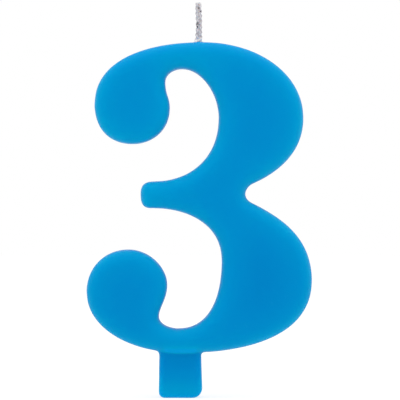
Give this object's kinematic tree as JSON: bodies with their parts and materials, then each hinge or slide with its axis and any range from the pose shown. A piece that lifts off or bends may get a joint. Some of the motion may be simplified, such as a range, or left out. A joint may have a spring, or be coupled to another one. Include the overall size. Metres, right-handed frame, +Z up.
{
  "type": "number birthday candle",
  "caption": "Cast wax numeral three with rounded edges, a flat tab below it that pushes into a cake, and a plaited cotton wick that bends.",
  "frame": {"origin": "centre of the insertion tab's end face, the end that goes down into the cake", "axes": "+Z up along the numeral towards the wick, +X to the right as the numeral is read from the front, +Y from the numeral's front to its back"},
  "size_m": [0.0449, 0.009, 0.0791],
  "materials": {
    "wax": "satin",
    "wick": "waxed"
  },
  "bodies": {
    "candle": {"wax_numeral": "wax", "wick_thread_a1_lower": "wick", "wick_thread_a2_lower": "wick", "wick_thread_a3_lower": "wick", "wick_thread_b1_lower": "wick", "wick_thread_b2_lower": "wick", "wick_thread_b3_lower": "wick", "wick_thread_c1_lower": "wick", "wick_thread_c2_lower": "wick", "wick_thread_c3_lower": "wick"},
    "wick_end": {"wick_thread_a1_upper": "wick", "wick_thread_a2_upper": "wick", "wick_thread_a3_upper": "wick", "wick_thread_b1_upper": "wick", "wick_thread_b2_upper": "wick", "wick_thread_b3_upper": "wick", "wick_thread_c1_upper": "wick", "wick_thread_c2_upper": "wick", "wick_thread_c3_upper": "wick"}
  },
  "joints": [
    {"name": "wick_bend", "type": "hinge", "parent": "candle", "child": "wick_end", "pos_m": [0.0037, 0, 0.0721], "axis": [0, 1, 0], "range_deg": [-60, 60]}
  ]
}
